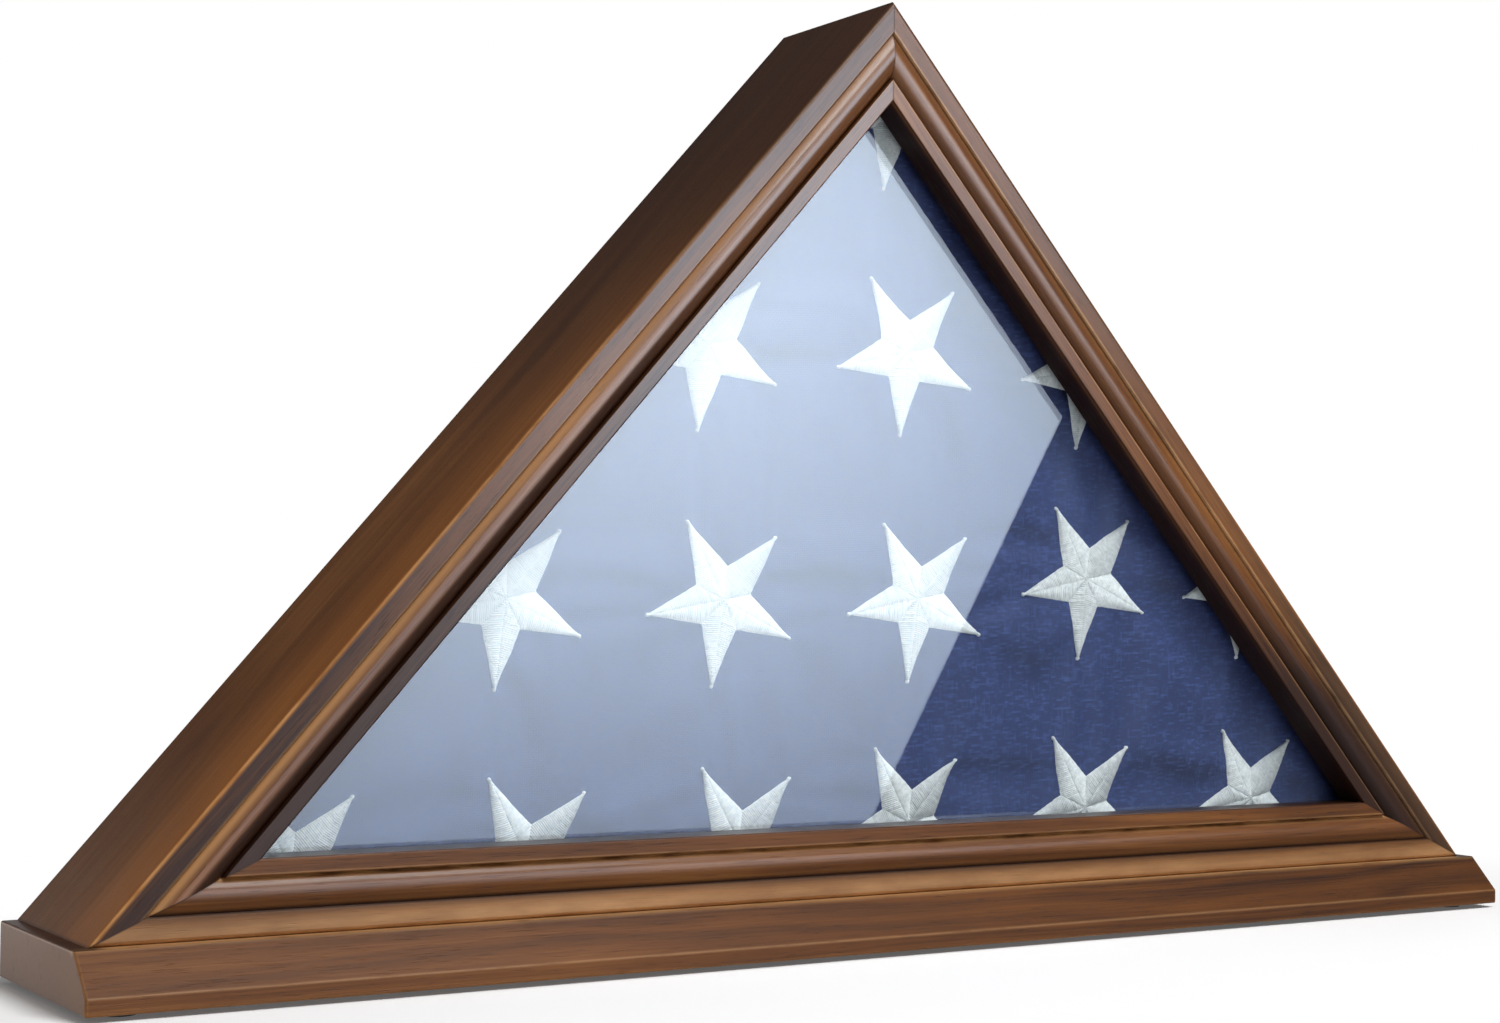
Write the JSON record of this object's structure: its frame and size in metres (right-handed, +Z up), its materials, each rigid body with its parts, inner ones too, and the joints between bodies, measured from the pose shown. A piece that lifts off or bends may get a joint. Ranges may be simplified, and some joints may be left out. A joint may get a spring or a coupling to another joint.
{
  "type": "flag display case",
  "caption": "Triangular glazed wooden case on a bevelled base that shows a folded flag, with a lift-out back held by turn buttons.",
  "frame": {"origin": "on the surface the case stands on, under the middle of its overall box", "axes": "+X right across the glazed front, +Y from the front to the back, +Z up to the apex"},
  "size_m": [0.652, 0.1032, 0.377],
  "materials": {
    "stained_walnut": "walnut-stained solid wood, satin lacquer, edges rubbed golden",
    "plain_pine": "bare softwood strip",
    "hardboard": "brown hardboard, smooth face out",
    "clear_glass": "clear polished sheet glass",
    "navy_cloth": "plain-woven navy cloth, folded",
    "white_thread": "white satin-stitch embroidery",
    "brass_plate": "brass-plated steel",
    "zinc_steel": "zinc-plated steel",
    "black_rubber": "matt moulded rubber"
  },
  "bodies": {
    "case": {"back_panel": "hardboard", "base_board": "stained_walnut", "base_screws": "zinc_steel", "bottom_back_ledge": "plain_pine", "bottom_bead_moulding": "stained_walnut", "bottom_glass_stop": "plain_pine", "bottom_side_board": "stained_walnut", "embroidered_stars": "white_thread", "folded_flag": "navy_cloth", "glass_pane": "clear_glass", "left_back_ledge": "plain_pine", "left_bead_moulding": "stained_walnut", "left_glass_stop": "plain_pine", "left_side_board": "stained_walnut", "mitre_splines": "plain_pine", "pivot_screws": "brass_plate", "right_back_ledge": "plain_pine", "right_bead_moulding": "stained_walnut", "right_glass_stop": "plain_pine", "right_side_board": "stained_walnut", "rubber_feet": "black_rubber", "strip_brads": "zinc_steel"},
    "turn_button_left_upper": {"turn_button_left_upper": "brass_plate"},
    "turn_button_left_lower": {"turn_button_left_lower": "brass_plate"},
    "turn_button_right_lower": {"turn_button_right_lower": "brass_plate"},
    "turn_button_right_upper": {"turn_button_right_upper": "brass_plate"},
    "turn_button_bottom_left": {"turn_button_bottom_left": "brass_plate"},
    "turn_button_bottom_right": {"turn_button_bottom_right": "brass_plate"}
  },
  "joints": [
    {"name": "left_upper_button_turn", "type": "hinge", "parent": "case", "child": "turn_button_left_upper", "pos_m": [-0.08035, 0.04915, 0.28114], "axis": [0, 1, 0], "continuous": true},
    {"name": "left_lower_button_turn", "type": "hinge", "parent": "case", "child": "turn_button_left_lower", "pos_m": [-0.23297, 0.04915, 0.11183], "axis": [0, 1, 0], "continuous": true},
    {"name": "right_lower_button_turn", "type": "hinge", "parent": "case", "child": "turn_button_right_lower", "pos_m": [0.23297, 0.04915, 0.11183], "axis": [0, 1, 0], "continuous": true},
    {"name": "right_upper_button_turn", "type": "hinge", "parent": "case", "child": "turn_button_right_upper", "pos_m": [0.08035, 0.04915, 0.28114], "axis": [0, 1, 0], "continuous": true},
    {"name": "bottom_left_button_turn", "type": "hinge", "parent": "case", "child": "turn_button_bottom_left", "pos_m": [-0.195, 0.04915, 0.0265], "axis": [0, 1, 0], "continuous": true},
    {"name": "bottom_right_button_turn", "type": "hinge", "parent": "case", "child": "turn_button_bottom_right", "pos_m": [0.195, 0.04915, 0.0265], "axis": [0, 1, 0], "continuous": true}
  ]
}
